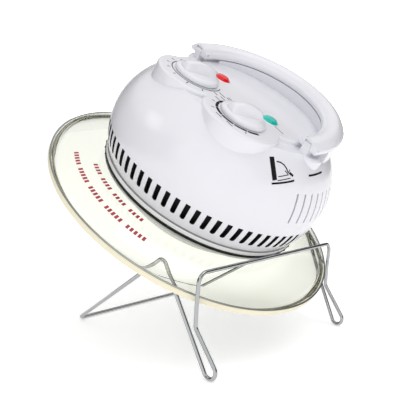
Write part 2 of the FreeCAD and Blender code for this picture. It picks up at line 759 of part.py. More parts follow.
def fan(label, radius, hub_r, hub_low, hub_high, disc_z, blade_z, blade_h, blade_tilt):
    """A bladed wheel on the motor shaft."""
    wheel = Part.makeCylinder(hub_r, hub_high - hub_low, Vec(0, 0, hub_low))
    if disc_z is not None:
        wheel = wheel.fuse(Part.makeCylinder(radius, sheet_t, Vec(0, 0, disc_z)))
    count = whole("blade_count")
    for i in range(count):
        blade = Part.makeBox(radius - hub_r + 1.5, 1.0, blade_h, Vec(hub_r - 1.5, -0.5, blade_z))
        middle = Vec(0, 0, blade_z + blade_h / 2)
        blade.rotate(middle, Vec(1, 0, 0), blade_tilt)
        wheel = wheel.fuse(around(blade, 360.0 * i / count))
    bore_tool = Part.makeCylinder(motor_shaft_r + 0.02, 60, Vec(0, 0, hub_low - 5))
    shape_node(label, wheel.cut(bore_tool))


fan("convection_fan", float(size("fan_radius")), 8.0, -4.0, 8.0, 5.6, -3.4, 9.2, 0.0)
fan("cooling_fan", float(size("cooling_fan_radius")), 9.0, 70.0, 82.0, None, 69.0, 14.0, 55.0)

# ================================================================ wiring pieces and inlet

terminal = box_at(-52, 42, chassis_high, 42, 16, 14)
terminal = terminal.cut([Part.makeCylinder(2.6, 8, Vec(-52 + dx, 42, chassis_high + 7))
                         for dx in (-14, 0, 14)])
shape_node("terminal_block", terminal)
fuse_holder = block("fuse_holder", 30.0, 9.0, 4.0, (38, -48, chassis_high))
fuse_tube = doc.addObject("Part::Cylinder", "fuse_tube")
fuse_tube.Radius = 3.5
fuse_tube.Height = 24.0
fuse_tube.Placement = FreeCAD.Placement(Vec(41, -43.5, chassis_high + 6.5),
                                        FreeCAD.Rotation(Vec(0, 1, 0), 90))
keep(joined("thermal_fuse", [fuse_holder, fuse_tube]), "thermal_fuse")
keep(block("handle_switch", 20.0, 7.0, 15.5,
           (64, pivot_y - 3.5, float(size("dome_top")) - wall - 15.5)), "handle_switch")

wall_y = dome_radius(gland_z)
inner_y = dome_radius(gland_z, wall)
gland = Part.makeCylinder(gland_r, wall_y - 104, Vec(0, 104, gland_z), Vec(0, 1, 0))
flange = Part.makeCylinder(13.0, 7.0, Vec(0, wall_y - 3.5, gland_z), Vec(0, 1, 0))
wall_low, wall_high = gland_z - 18.0, gland_z + 18.0
wall_form = spun([
    (0, wall_low),
    (dome_radius(wall_low, -bed), wall_low, dome_radius(gland_z, -bed), gland_z),
    (dome_radius(wall_high, -bed), wall_high),
    (0, wall_high),
])
gland = gland.fuse(flange.cut(wall_form))
gland = gland.fuse(Part.makeCylinder(gland_r, 3.0, Vec(0, wall_y - 1.5, gland_z), Vec(0, 1, 0)))
gland = gland.fuse(Part.makeCone(9.5, 6.5, 16.0, Vec(0, wall_y + 3.5, gland_z), Vec(0, 1, 0)))
gland = gland.cut(Part.makeCylinder(3.9, 60, Vec(0, 95, gland_z), Vec(0, 1, 0)))
shape_node("power_inlet", gland)
nut = Part.makeCylinder(13.0, 7.0, Vec(0, inner_y - 7.5, gland_z), Vec(0, 1, 0))
nut = nut.common(cover_form(wall + bed))
shape_node("inlet_nut", nut.cut(
    Part.makeCylinder(gland_r + 0.05, 60, Vec(0, 95, gland_z), Vec(0, 1, 0))))

# ================================================================ wire stand

wire_r = float(size("wire_radius"))
head_x = float(size("head_centre_x"))
rest = float(size("rest_gap"))


def to_row(x, y, z):
    """A point of the head frame in the row frame."""
    return head_place.multVec(Vec(x, y, z))


def crown_normal(radius):
    """Outward normal of the glass at a radius: its radial and upright parts."""
    lean = (radius - crown_r) / crown_R
    return lean, math.sqrt(1 - lean * lean)


def unit(vector):
    """The same direction with length one."""
    return Vec(vector).multiply(1.0 / vector.Length)


def corner_of(before, after, contact, normal, bend):
    """Corner of a rounded bend whose wire centre line touches a point from below."""
    corner = Vec(contact)
    for _ in range(12):
        d1 = unit(corner.sub(before))
        d2 = unit(after.sub(corner))
        axis = unit(d1.cross(d2))
        flat = unit(normal.sub(Vec(axis).multiply(normal.dot(axis))))
        half = d1.getAngle(d2) / 2
        outward = unit(d1.sub(d2))
        centre = contact.sub(flat.multiply(bend))
        corner = centre.add(outward.multiply(bend / math.cos(half)))
    return corner


def bent_rod(points, bends, radius):
    """A round wire through corner points, with a rounded bend at each inner corner."""
    edges = []
    start = points[0]
    for i in range(1, len(points) - 1):
        here = points[i]
        d1 = unit(here.sub(points[i - 1]))
        d2 = unit(points[i + 1].sub(here))
        turn = d1.getAngle(d2)
        bend = bends[i - 1]
        back = bend * math.tan(turn / 2)
        first = here.sub(Vec(d1).multiply(back))
        last = here.add(Vec(d2).multiply(back))
        inward = unit(Vec(d2).sub(d1))
        middle = here.add(Vec(inward).multiply(bend / math.cos(turn / 2) - bend))
        edges.append(Part.LineSegment(start, first).toShape())
        edges.append(Part.Arc(first, middle, last).toShape())
        start = last
    edges.append(Part.LineSegment(start, points[-1]).toShape())
    path = Part.Wire(edges)
    along = unit(points[1].sub(points[0]))
    ring = Part.Wire(Part.makeCircle(radius, points[0], along))
    return path.makePipeShell([ring], True, False)


rear_x = head_x - float(size("rear_bar_back"))
rear_y = float(size("rear_bar_half_span"))
foot_x = head_x + float(size("foot_reach"))
foot_y = float(size("foot_half_span"))
foot_half = float(size("foot_width")) / 2
prong_x = head_x + float(size("prong_reach"))
prong_y = float(size("prong_half_span"))
apex_y = float(size("apex_half_span"))
apex_at = float(size("apex_x"))
apex_radius = math.hypot(apex_at, apex_y)
lean, upright = crown_normal(apex_radius)
under_offset = -(glass_t + wire_r + rest)
bar_at = float(collar) + 1.0 + wire_r
bar = to_row(bar_at, 0, glass_top(bar_at, wire_r + rest))
corner_bend = 9.0
apex_bend = 6.0
foot_bend = foot_half - 0.4


def side_frame(side):
    """Corner points of one side of the stand, from the rear bar to the crossbar."""
    rear = Vec(rear_x, side * rear_y, wire_r)
    contact = to_row(apex_at, side * apex_y, glass_top(apex_radius, under_offset))
    ux = lean * apex_at / apex_radius
    uy = lean * side * apex_y / apex_radius
    normal = head_place.Rotation.multVec(Vec(ux, uy, upright))
    foot = Vec(foot_x, side * foot_y, wire_r + foot_half)
    apex = corner_of(rear, foot, contact, normal, apex_bend)
    down = unit(foot.sub(apex))
    across = unit(Vec(-down.z, 0, down.x))
    inner = foot.sub(Vec(across).multiply(foot_half)).add(Vec(down).multiply(foot_half))
    outer = foot.add(Vec(across).multiply(foot_half)).add(Vec(down).multiply(foot_half))
    bend_z = inner.z + foot_bend * (across.z - down.z)
    other_z = outer.z + foot_bend * (-across.z - down.z)
    drop = min(bend_z, other_z) - foot_bend - wire_r
    inner.z -= drop
    outer.z -= drop
    low = Vec(prong_x, side * prong_y, float(size("jog_low_height")))
    high = Vec(prong_x, side * prong_y, float(size("jog_high_height")))
    end = Vec(bar.x, side * prong_y, bar.z)
    return rear, apex, inner, outer, low, high, end


for side, label in ((-1, "side_wire_front"), (1, "side_wire_back")):
    rear, apex, inner, outer, low, high, end = side_frame(side)
    inboard = Vec(rear.x, rear.y - side * 12.0, rear.z)
    bar_end = Vec(end.x, end.y - side * 12.0, end.z)
    shape_node(label, bent_rod(
        [inboard, rear, apex, inner, outer, low, high, end, bar_end],
        [corner_bend, apex_bend, foot_bend, foot_bend, 8.0, 8.0, corner_bend], wire_r),
        stand_place)
shape_node("rear_bar", rod(Vec(rear_x, -rear_y + 12.0, wire_r), Vec(rear_x, rear_y - 12.0, wire_r),
                           wire_r), stand_place)
shape_node("crossbar", rod(Vec(bar.x, -prong_y + 12.0, bar.z), Vec(bar.x, prong_y - 12.0, bar.z),
                           wire_r), stand_place)

# ================================================================ checking and writing

doc.recompute()
for item in doc.Objects:
    assert "Invalid" not in item.State and "Error" not in item.State, item.Label
os.makedirs("parts", exist_ok=True)
for item in nodes:
    assert not item.Shape.isNull() and item.Shape.isValid(), item.Label
    item.Shape.exportStep("parts/%s.step" % item.Label)
print("%d sub-parts written" % len(nodes))
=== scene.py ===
import math
import bmesh
import bpy
from mathutils import Matrix, Vector


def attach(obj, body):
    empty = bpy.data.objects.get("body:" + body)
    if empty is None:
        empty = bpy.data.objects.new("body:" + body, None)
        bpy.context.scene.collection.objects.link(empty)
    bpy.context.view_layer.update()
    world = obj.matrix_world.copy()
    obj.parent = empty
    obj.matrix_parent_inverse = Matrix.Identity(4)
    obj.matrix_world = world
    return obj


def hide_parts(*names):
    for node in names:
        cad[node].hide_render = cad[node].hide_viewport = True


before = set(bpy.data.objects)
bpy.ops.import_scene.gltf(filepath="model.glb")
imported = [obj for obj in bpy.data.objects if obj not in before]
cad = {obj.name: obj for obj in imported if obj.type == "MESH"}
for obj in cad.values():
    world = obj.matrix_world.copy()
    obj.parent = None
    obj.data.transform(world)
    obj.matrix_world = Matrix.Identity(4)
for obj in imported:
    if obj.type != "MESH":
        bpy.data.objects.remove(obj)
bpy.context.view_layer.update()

# ---- The studio.  A white table runs back to a bright backdrop under a bright ceiling,
# with a white screen behind the camera; the walls between them are dark, which gives the
# wire something to mirror.  Large soft lights stand to the left, overhead and to the right.
eye_turn, eye_rise, eye_lean = math.radians(41.36), math.radians(7.41), math.radians(2.93)
eye_back = Vector((math.sin(eye_turn) * math.cos(eye_rise),
                   -math.cos(eye_turn) * math.cos(eye_rise), math.sin(eye_rise)))
eye_level = Vector((math.cos(eye_turn), math.sin(eye_turn), 0))
eye_up = eye_back.cross(eye_level)
eye_right = eye_level * math.cos(eye_lean) + eye_up * math.sin(eye_lean)
eye_top = eye_up * math.cos(eye_lean) - eye_level * math.sin(eye_lean)
eye_place = Vector((0.42962, -0.48692, 0.21946))
camera = bpy.data.objects.new("camera", bpy.data.cameras.new("camera"))
camera.matrix_world = Matrix((
    (eye_right.x, eye_top.x, eye_back.x, eye_place.x),
    (eye_right.y, eye_top.y, eye_back.y, eye_place.y),
    (eye_right.z, eye_top.z, eye_back.z, eye_place.z),
    (0, 0, 0, 1)))
camera.data.lens = 53.92
camera.data.sensor_width = 36
camera.data.clip_end = 200
bpy.context.scene.collection.objects.link(camera)
bpy.context.scene.camera = camera

table = bmesh.new()
bmesh.ops.create_grid(table, x_segments=2, y_segments=2, size=40)
table_mesh = bpy.data.meshes.new("table_top")
table.to_mesh(table_mesh)
table.free()
table_top = bpy.data.objects.new("table_top", table_mesh)
bpy.context.scene.collection.objects.link(table_top)
table_paint = bpy.data.materials.new("table_paint")
table_paint.use_nodes = True
table_shader = table_paint.node_tree.nodes["Principled BSDF"]
table_shader.inputs["Base Color"].default_value = (0.93, 0.93, 0.93, 1)
table_shader.inputs["Roughness"].default_value = 0.8
table_shader.inputs["Specular IOR Level"].default_value = 0.1
table_shader.inputs["Emission Color"].default_value = (1, 1, 1, 1)
table_shader.inputs["Emission Strength"].default_value = 0.4
table_mesh.materials.append(table_paint)

surround = bpy.data.worlds.new("surround")
surround.use_nodes = True
bpy.context.scene.world = surround
sky = surround.node_tree.nodes
sky_links = surround.node_tree.links
sky_direction = sky.new("ShaderNodeTexCoord")
sky_split = sky.new("ShaderNodeSeparateXYZ")
sky_ramp = sky.new("ShaderNodeValToRGB")
sky_links.new(sky_direction.outputs["Generated"], sky_split.inputs[0])
sky_links.new(sky_split.outputs["Z"], sky_ramp.inputs[0])
sky_facing = sky.new("ShaderNodeVectorMath")
sky_facing.operation = "DOT_PRODUCT"
sky_facing.inputs[1].default_value = -eye_back
sky_span = sky.new("ShaderNodeMapRange")
sky_span.inputs["From Min"].default_value = -1
screen_ramp = sky.new("ShaderNodeValToRGB")
sky_shade = sky.new("ShaderNodeVectorMath")
sky_shade.operation = "MAXIMUM"
sky_seen = sky.new("ShaderNodeVectorMath")
sky_seen.operation = "MAXIMUM"
sky_path = sky.new("ShaderNodeLightPath")
sky_links.new(sky_direction.outputs["Generated"], sky_facing.inputs[0])
sky_links.new(sky_facing.outputs["Value"], sky_span.inputs["Value"])
sky_links.new(sky_span.outputs["Result"], screen_ramp.inputs[0])
sky_links.new(sky_ramp.outputs[0], sky_shade.inputs[0])
sky_links.new(screen_ramp.outputs[0], sky_shade.inputs[1])
sky_links.new(sky_shade.outputs[0], sky_seen.inputs[0])
sky_links.new(sky_path.outputs["Is Camera Ray"], sky_seen.inputs[1])
sky_links.new(sky_seen.outputs[0], sky["Background"].inputs["Color"])
sky_bands = ((0.0, 0.004), (0.45, 0.004), (0.58, 0.40), (0.7, 0.46), (1.0, 0.46))
screen_bands = ((0.0, 0.62), (0.08, 0.62), (0.13, 0.003), (0.93, 0.003), (0.95, 0.5))
for ramp, bands in ((sky_ramp, sky_bands), (screen_ramp, screen_bands)):
    while len(ramp.color_ramp.elements) < len(bands):
        ramp.color_ramp.elements.new(0.5)
    for stop, (height, grey) in zip(ramp.color_ramp.elements, bands):
        stop.position = height
        stop.color = (grey, grey, grey, 1)
sky["Background"].inputs["Strength"].default_value = 2.0

for lamp_name, lamp_place, lamp_width, lamp_power in (
        ("key_panel", Vector((-0.75, -1.5, 1.45)), 0.6, 2.2),
        ("top_panel", Vector((0.9, 0.3, 1.9)), 1.2, 6.0),
        ("fill_panel", Vector((1.6, -0.2, 1.0)), 1.0, 0.8)):
    lamp = bpy.data.lights.new(lamp_name, "AREA")
    lamp.shape = "SQUARE"
    lamp.size = lamp_width
    lamp.energy = lamp_power
    lamp_object = bpy.data.objects.new(lamp_name, lamp)
    lamp_object.location = lamp_place
    lamp_object.rotation_euler = (Vector((0, 0, 0.15)) - lamp_place).to_track_quat(
        "-Z", "Y").to_euler()
    bpy.context.scene.collection.objects.link(lamp_object)
bpy.context.scene.view_settings.view_transform = "Standard"


# ---- The lid stand.  Bright chrome-plated steel wire, 3.8 mm thick, bent into two
# A-shaped sides with narrow looped feet; the rear bar and the crossbar join the sides.
def finish(name, colour, roughness, metallic=0.0, grain=900.0, spread=0.03, relief=0.15,
           uneven=0.04):
    """A material whose colour, gloss and surface all vary a little over the piece."""
    material = bpy.data.materials.new(name)
    material.use_nodes = True
    nodes, links = material.node_tree.nodes, material.node_tree.links
    shader = nodes["Principled BSDF"]
    shader.inputs["Metallic"].default_value = metallic
    place = nodes.new("ShaderNodeTexCoord")
    broad = nodes.new("ShaderNodeTexNoise")
    broad.inputs["Scale"].default_value = grain / 12
    broad.inputs["Detail"].default_value = 3
    fine = nodes.new("ShaderNodeTexNoise")
    fine.inputs["Scale"].default_value = grain
    fine.inputs["Detail"].default_value = 4
    tone = nodes.new("ShaderNodeMix")
    tone.data_type = "RGBA"
    tone.inputs["A"].default_value = (*[c * (1 - spread) for c in colour], 1)
    tone.inputs["B"].default_value = (*[min(1, c * (1 + spread)) for c in colour], 1)
    gloss = nodes.new("ShaderNodeMapRange")
    gloss.inputs["To Min"].default_value = max(0.01, roughness - uneven)
    gloss.inputs["To Max"].default_value = roughness + uneven
    bump = nodes.new("ShaderNodeBump")
    bump.inputs["Strength"].default_value = relief
    bump.inputs["Distance"].default_value = 0.00005
    links.new(place.outputs["Object"], broad.inputs["Vector"])
    links.new(place.outputs["Object"], fine.inputs["Vector"])
    links.new(broad.outputs["Fac"], tone.inputs["Factor"])
    links.new(broad.outputs["Fac"], gloss.inputs["Value"])
    links.new(fine.outputs["Fac"], bump.inputs["Height"])
    links.new(tone.outputs["Result"], shader.inputs["Base Color"])
    links.new(gloss.outputs["Result"], shader.inputs["Roughness"])
    links.new(bump.outputs["Normal"], shader.inputs["Normal"])
    return material


def dress(material, *names):
    """Gives carried-over pieces their finish."""
    for name in names:
        for entry in cad[name].material_slots:
            entry.material = material


chrome_wire = finish("chrome_wire", (0.42, 0.43, 0.44), 0.03, metallic=1.0, grain=1400,
                     spread=0.05, uneven=0.03)
dress(chrome_wire, "side_wire_front", "side_wire_back", "rear_bar", "crossbar")


# ---- The lid glass.  Clear pressed glass, 4 mm thick, crowned from a turned-down rim up
# to the collar hole.  It is one spun form, so its profile is turned about the head's axis.
head_tilt = math.radians(32.9)
head_place = (Matrix.Translation((-0.00604, 0, 0.1366))
              @ Matrix.Rotation(head_tilt, 4, "Y"))
axis_points = (Vector((0, 0, 0)), Vector((0, 0, 1)))


def settle(name, shape, material, body, smooth=True):
    """Turns a finished bmesh into a piece of the head, tilted with it, that rides on a body."""
    shape.transform(head_place)
    mesh = bpy.data.meshes.new(name)
    if smooth:
        for face in shape.faces:
            face.smooth = True
        for edge in shape.edges:
            if len(edge.link_faces) == 2 and edge.calc_face_angle(0) > math.radians(38):
                edge.smooth = False
    shape.to_mesh(mesh)
    shape.free()
    mesh.materials.append(material)
    piece = bpy.data.objects.new(name, mesh)
    bpy.context.scene.collection.objects.link(piece)
    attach(piece, body)
    return piece


def turned(profile, steps=128, closed=True):
    """Spins a profile of (radius, height) points, in millimetres, about the axis."""
    shape = bmesh.new()
    points = [shape.verts.new((r / 1000, 0, z / 1000)) for r, z in profile]
    edges = [shape.edges.new((a, b)) for a, b in zip(points, points[1:])]
    if closed:
        edges.append(shape.edges.new((points[-1], points[0])))
    bmesh.ops.spin(shape, geom=points + edges, cent=(0, 0, 0), axis=(0, 0, 1),
                   angle=math.tau, steps=steps, use_merge=True)
    bmesh.ops.remove_doubles(shape, verts=shape.verts, dist=0.000002)
    bmesh.ops.recalc_face_normals(shape, faces=shape.faces)
    return shape


crown_centre_r, crown_centre_z, crown_radius = 103.184, -86.934, 105.938


def crown(radius, offset=0.0):
    """Height of the glass crown at a radius, or of a surface parallel to it."""
    reach = (crown_radius + offset) ** 2 - (radius - crown_centre_r) ** 2
    return crown_centre_z + math.sqrt(reach)


lid_profile = [(104, crown(104, -4) + 0.6), (104, crown(104) - 0.6)]
lid_profile += [(104.6 + 3.07 * i, crown(104.6 + 3.07 * i)) for i in range(19)]
lid_profile += [(162.7, 0.9), (163, -0.2), (163, -5.2), (162.2, -6), (159.8, -6), (159, -5.2),
                (159, -3.4), (158, -1.9), (156, -0.1)]
lid_profile += [(154.4 - 2.77 * i, crown(154.4 - 2.77 * i, -4)) for i in range(19)]
clear_glass = finish("clear_glass", (0.895, 0.905, 0.820), 0.02, grain=160, spread=0.006,
                     relief=0.12, uneven=0.012)
clear_glass.node_tree.nodes["Principled BSDF"].inputs["Transmission Weight"].default_value = 1
clear_glass.node_tree.nodes["Principled BSDF"].inputs["IOR"].default_value = 1.47
lid_glass = settle("lid_glass", turned(lid_profile, 160), clear_glass, "head")
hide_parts("glass_lid")

# ---- The rim.  A slim rolled steel hoop over the shoulder of the glass and a cream
# silicone sleeve below it, which cushions the lid on its bowl.
rim_steel = finish("rim_steel", (0.30, 0.31, 0.29), 0.3, metallic=1.0, grain=1200)
rim_bead = settle("rim_bead", turned([
    (163.05, 0.1), (164.3, 0.1), (164.62, 0.45), (164.55, 0.95), (164.0, 1.3), (163.2, 1.35),
    (162.9, 1.25), (162.95, 0.95), (163.15, 0.75)], 160), rim_steel, "head")
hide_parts("rim_band")
cream_sleeve = finish("cream_sleeve", (0.88, 0.82, 0.62), 0.5, grain=700, spread=0.03)
rim_sleeve = settle("rim_sleeve", turned([
    (163.05, 0.06), (164.35, 0.06), (164.45, -0.3), (164.5, -4.9), (164.3, -5.6),
    (163.9, -5.95), (163.05, -6.0)], 160), cream_sleeve, "head")
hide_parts("rim_seal")

# ---- The printed rows.  Two rows of plain red dashes run round the front of the glass,
# screen-printed on its upper face in enamel.
red_ink = finish("red_ink", (0.42, 0.03, 0.06), 0.5, grain=2200, spread=0.12)


def ring_dashes(name, material, radius, spans, width, height_at):
    """Thin printed strokes that follow a circle: spans are (start, end) angles."""
    shape = bmesh.new()
    for start, end in spans:
        low, high = radius - width / 2, radius + width / 2
        a = shape.verts.new((low / 1000, 0, height_at(low) / 1000))
        b = shape.verts.new((high / 1000, 0, height_at(high) / 1000))
        edge = shape.edges.new((a, b))
        bmesh.ops.rotate(shape, verts=[a, b], cent=(0, 0, 0),
                         matrix=Matrix.Rotation(math.radians(start), 3, "Z"))
        steps = max(1, round((end - start) / 1.5))
        bmesh.ops.spin(shape, geom=[a, b, edge], cent=(0, 0, 0), axis=(0, 0, 1),
                       angle=math.radians(end - start), steps=steps)
    bmesh.ops.recalc_face_normals(shape, faces=shape.faces)
    up = sum((face.normal.z for face in shape.faces), 0.0)
    if up < 0:
        bmesh.ops.reverse_faces(shape, faces=shape.faces)
    bmesh.ops.solidify(shape, geom=shape.faces, thickness=-0.00006)
    settle(name, shape, material, "head")


def above_glass(radius):
    return crown(radius, 0.08)


outer_spans = [(-119 + 1.9 * i, -117.8 + 1.9 * i) for i in range(30) if i % 6 != 5]
inner_spans = [(-110 + 2.1 * i, -108.7 + 2.1 * i) for i in range(19) if i % 5 != 4]
ring_dashes("outer_dash_ring", red_ink, 141, outer_spans, 4.2, above_glass)
ring_dashes("inner_dash_ring", red_ink, 125.6, inner_spans, 4.2, above_glass)

# ---- The collar.  A black rubber gasket with small tabs lies on the glass, a white
# moulded ring stands on it, and a grey base ring carries the cover.
black_rubber = finish("black_rubber", (0.015, 0.016, 0.016), 0.55, grain=1800, spread=0.25,
                      relief=0.4)
dress(black_rubber, "collar_gasket", "lower_gasket", "power_inlet")
white_moulding = finish("white_moulding", (0.80, 0.80, 0.845), 0.24, grain=700, spread=0.012)
white_moulding.node_tree.nodes["Principled BSDF"].inputs["Coat Weight"].default_value = 0.35
white_moulding.node_tree.nodes["Principled BSDF"].inputs["Coat Roughness"].default_value = 0.12
collar_white = finish("collar_white", (0.90, 0.90, 0.90), 0.3, grain=700, spread=0.012)
dress(collar_white, "collar_ring")
grey_base = finish("grey_base", (0.24, 0.245, 0.25), 0.35, grain=900, spread=0.1)
dress(grey_base, "base_ring", "inlet_nut", "handle_switch")

# ---- The cover.  One white glossy ABS moulding: a low dome with a row of air slots at its
# foot and tall slots behind, a flat control panel and two round bosses for the knobs.
# A sheet behind the front slots, the walls of the slots and the cover's inner walls are coloured
# near-black as painted shade.
slot_low, slot_high, last_slot_y = 0.0350, 0.0545, 0.012
shoulder_height, inner_wall_radius = 0.118, 0.1195
# Near-black painted shade for the slot screen, the slot walls and the inner walls of the cover.
painted_shade_black = finish("painted_shade_black", (0.012, 0.012, 0.013), 0.6, grain=1100, spread=0.3)
dress(painted_shade_black, "slot_screen")
cover_source = cad["top_cover"].data
cover_work = bmesh.new()
cover_work.from_mesh(cover_source)
exact_normal = cover_work.loops.layers.float_vector.new("exact_normal")
for face in cover_work.faces:
    for loop in face.loops:
        loop[exact_normal] = cover_source.corner_normals[loop.index].vector
bmesh.ops.remove_doubles(cover_work, verts=cover_work.verts, dist=0.000001)
cover_mesh = bpy.data.meshes.new("cover_shell")
cover_work.to_mesh(cover_mesh)
cover_work.free()
corner_record = cover_mesh.attributes["exact_normal"]
cover_mesh.normals_split_custom_set([entry.vector.copy() for entry in corner_record.data])
cover_mesh.attributes.remove(cover_mesh.attributes["exact_normal"])
cover_mesh.materials.append(white_moulding)
cover_mesh.materials.append(painted_shade_black)
head_upright = head_place.inverted()
# Slot-wall faces and inward faces below the shoulder get the near-black painted shade.
for face in cover_mesh.polygons:
    middle = head_upright @ face.center
    facing = head_upright.to_3x3() @ face.normal
    outward = Vector((middle.x, middle.y, 0)).normalized().dot(facing)
    in_slot = middle.y < last_slot_y and slot_low < middle.z < slot_high and outward < 0.6
    inside = (outward < -0.3 and middle.z < shoulder_height
              and middle.xy.length < inner_wall_radius)
    face.material_index = 1 if in_slot or inside else 0
cover_shell = bpy.data.objects.new("cover_shell", cover_mesh)
bpy.context.scene.collection.objects.link(cover_shell)
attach(cover_shell, "head")
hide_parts("top_cover")

# ---- The indicator lenses.  Red and green acrylic jewels, faceted, pressed into the
# panel over small neon lamps.
panel_top, lens_row_y = 0.128, -0.011


def jewel(name, material, x, node):
    shape = bmesh.new()
    bmesh.ops.create_cone(shape, cap_ends=True, segments=14, radius1=0.0086, radius2=0.0060,
                          depth=0.0026)
    bmesh.ops.translate(shape, verts=shape.verts, vec=(0, 0, 0.0014))
    top = max(shape.faces, key=lambda face: face.calc_center_median().z)
    bmesh.ops.inset_individual(shape, faces=[top], thickness=0.0022, depth=0.0006)
    bmesh.ops.inset_individual(shape, faces=[top], thickness=0.0020, depth=0.0003)
    bmesh.ops.bevel(shape, geom=[e for e in shape.edges if e.calc_face_angle(0) > 0.6],
                    offset=0.0002, affect="EDGES", segments=2, profile=0.5, material=-1)
    bmesh.ops.translate(shape, verts=shape.verts, vec=(x, lens_row_y, panel_top))
    bezel = turned([(8.65, 0), (9.6, 0), (9.6, 0.3), (9.3, 0.5), (8.65, 0.5)], 48)
    bmesh.ops.translate(bezel, verts=bezel.verts, vec=(x, lens_row_y, panel_top - 0.0001))
    settle(name + "_bezel", bezel, white_moulding, "head")
    piece = settle(name, shape, material, "head", smooth=False)
    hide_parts(node)


red_acrylic = finish("red_acrylic", (0.85, 0.012, 0.016), 0.10, grain=1500, spread=0.3)
green_acrylic = finish("green_acrylic", (0.01, 0.52, 0.42), 0.10, grain=1500, spread=0.3)
jewel("red_jewel", red_acrylic, -0.037, "red_lens")
jewel("green_jewel", green_acrylic, 0.037, "green_lens")

# ---- The panel print.  Pad-printed grey and black ink on the bosses: a thin ring round the
# timer, a heavy broken arc round the thermostat, and short strokes beside both dials.
grey_ink = finish("grey_ink", (0.07, 0.07, 0.075), 0.5, grain=2200, spread=0.1)
# Black ink for the print, also used as painted shadow in the gap by the right pivot.
black_ink_and_shadow = finish("black_ink_and_shadow", (0.006, 0.006, 0.007), 0.6, grain=2200, spread=0.2)
black_ink_and_shadow.node_tree.nodes["Principled BSDF"].inputs["Specular IOR Level"].default_value = 0.15
panel_print = panel_top + 0.00005
knob_x, knob_y = 35, -52


def strokes(name, material, lines):
    """Flat printed strokes on the panel: each is (x, y, length, width, angle), in mm."""
    shape = bmesh.new()
    for x, y, length, width, angle in lines:
        made = bmesh.ops.create_cube(shape, size=1)
        where = (Matrix.Translation((x / 1000, y / 1000, panel_print))
                 @ Matrix.Rotation(math.radians(angle), 4, "Z")
                 @ Matrix.Diagonal((length / 1000, width / 1000, 0.00012, 1)))
        bmesh.ops.transform(shape, matrix=where, verts=made["verts"])
    settle(name, shape, material, "head", smooth=False)


def arc_print(name, material, centre, radius, spans, width):
    """Printed arcs round a dial."""
    shape = bmesh.new()
    for start, end in spans:
        a = shape.verts.new(((radius - width / 2) / 1000, 0, 0))
        b = shape.verts.new(((radius + width / 2) / 1000, 0, 0))
        edge = shape.edges.new((a, b))
        bmesh.ops.rotate(shape, verts=[a, b], cent=(0, 0, 0),
                         matrix=Matrix.Rotation(math.radians(start), 3, "Z"))
        bmesh.ops.spin(shape, geom=[a, b, edge], cent=(0, 0, 0), axis=(0, 0, 1),
                       angle=math.radians(end - start), steps=max(2, round((end - start) / 5)))
    bmesh.ops.recalc_face_normals(shape, faces=shape.faces)
    bmesh.ops.solidify(shape, geom=shape.faces, thickness=-0.0001)
    bmesh.ops.recalc_face_normals(shape, faces=shape.faces)
    bmesh.ops.translate(shape, verts=shape.verts,
                        vec=(centre[0] / 1000, centre[1] / 1000, panel_print))
    settle(name, shape, material, "head")


arc_print("timer_ring", grey_ink, (-knob_x, knob_y), 26.0, [(-215, 35)], 1.1)
arc_print("thermostat_arc", black_ink_and_shadow, (knob_x, knob_y), 26.2,
          [(-192, -160), (-158, -128), (-126, -98), (-96, -66), (-64, -36), (-34, -8)], 2.8)
strokes("timer_strokes", grey_ink, [
    (-knob_x + 30.5 * math.cos(math.radians(a)),
     knob_y + 30.5 * math.sin(math.radians(a)), w, 1.1, a)
    for a, w in ((-215, 6), (-190, 5), (-165, 3), (-140, 3), (-115, 3), (-90, 3), (-60, 5),
                 (-30, 4), (0, 5))])
strokes("thermostat_strokes", grey_ink, [
    (knob_x + 31 * math.cos(math.radians(a)),
     knob_y + 31 * math.sin(math.radians(a)), w, 1.1, t)
    for a, w, t in ((-200, 9, 0), (-185, 8, 0), (-170, 8, 0), (-150, 3, -150), (-120, 3, -120),
                    (-95, 8, 0), (-70, 8, 0), (-40, 3, -40))])
strokes("lamp_strokes", grey_ink, [(-54, -8, 14, 0.9, 0), (52, -14, 13, 0.9, 0),
                                   (5, -38, 9, 1.1, 0), (-3, -44, 9, 1.1, 0)])

# ---- The sign by the right pivot.  Plain black ink on the cover: an upright bar, a tipping
# arrow and a ground line.  It is laid on the dome's own curve.
dome_centre_r, dome_centre_z, dome_radius = 48.6, 62.0, 72.9


def on_dome(angle, height, lift=0.0):
    """A point on the cover's dome, from its bearing in degrees and its height in mm."""
    reach = dome_centre_r + math.sqrt(dome_radius ** 2 - (height - dome_centre_z) ** 2) + lift
    bearing = math.radians(angle)
    return Vector((reach * math.cos(bearing), reach * math.sin(bearing), height)) / 1000


def dome_print_and_shadow(name, material, ribbons):
    """Ribbons on the dome, for printed marks and for painted shadow: each is a run of (angle,
    height) points and a width.
    """
    shape = bmesh.new()
    for points, width in ribbons:
        rows = []
        for i, (angle, height) in enumerate(points):
            here = on_dome(angle, height)
            before = on_dome(*points[max(0, i - 1)])
            after = on_dome(*points[min(len(points) - 1, i + 1)])
            outward = (on_dome(angle, height, 1) - on_dome(angle, height, 0)).normalized()
            outward = (outward + Vector((0, 0, (height - 62) / 60))).normalized()
            across = (after - before).cross(outward).normalized() * (width / 2000)
            lifted = here + outward * 0.00012
            rows.append((shape.verts.new(lifted - across), shape.verts.new(lifted + across)))
        for low, high in zip(rows, rows[1:]):
            shape.faces.new((low[0], low[1], high[1], high[0]))
    bmesh.ops.recalc_face_normals(shape, faces=shape.faces)
    for face in shape.faces:
        middle = face.calc_center_median()
        if face.normal.dot(Vector((middle.x, middle.y, 0))) < 0:
            face.normal_flip()
    bmesh.ops.solidify(shape, geom=shape.faces, thickness=0.0003)
    settle(name, shape, material, "head")


def run(start, end, count=7):
    return [(start[0] + (end[0] - start[0]) * i / (count - 1),
             start[1] + (end[1] - start[1]) * i / (count - 1)) for i in range(count)]


